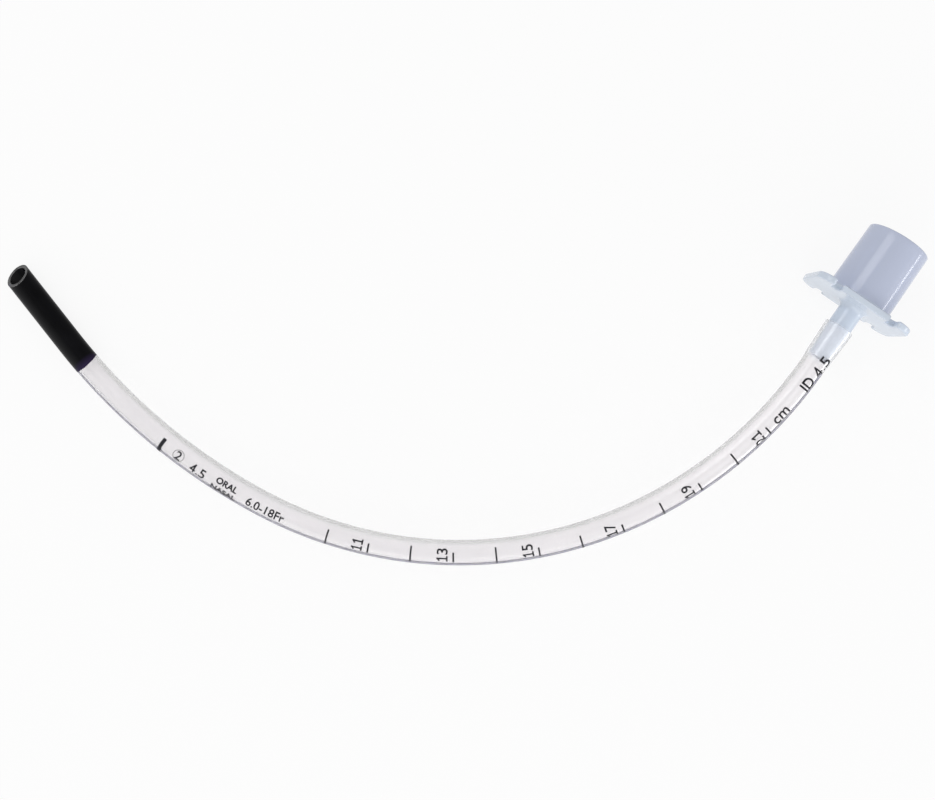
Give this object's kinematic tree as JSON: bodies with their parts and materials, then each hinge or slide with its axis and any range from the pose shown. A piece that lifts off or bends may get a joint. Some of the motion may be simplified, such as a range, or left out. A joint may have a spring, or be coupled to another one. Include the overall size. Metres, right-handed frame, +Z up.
{
  "type": "uncuffed endotracheal tube",
  "caption": "Curved clear uncuffed breathing tube with a bevelled black tip, radiopaque line and centimetre scale, pushed onto a pale blue winged connector with a tapered cone",
  "frame": {"origin": "on the ground, under the middle of the part's bounding box", "axes": "+X along the chord of the arc towards the connector, +Y from the arc's belly towards its open side, +Z up, away from the ground"},
  "size_m": [0.2142, 0.0794, 0.0202],
  "materials": {
    "clear_pvc": "clear soft PVC, slightly milky, glossy",
    "radiopaque_pvc": "filled PVC, blue-violet, seen through the clear wall",
    "pale_blue_polypropylene": "moulded polypropylene, pale blue, translucent, smooth",
    "black_ink": "printed black ink"
  },
  "bodies": {
    "root": {"tube": "clear_pvc", "radiopaque_line": "radiopaque_pvc", "connector": "pale_blue_polypropylene", "tip_marking": "black_ink", "cord_mark": "black_ink", "depth_scale": "black_ink"}
  },
  "joints": []
}
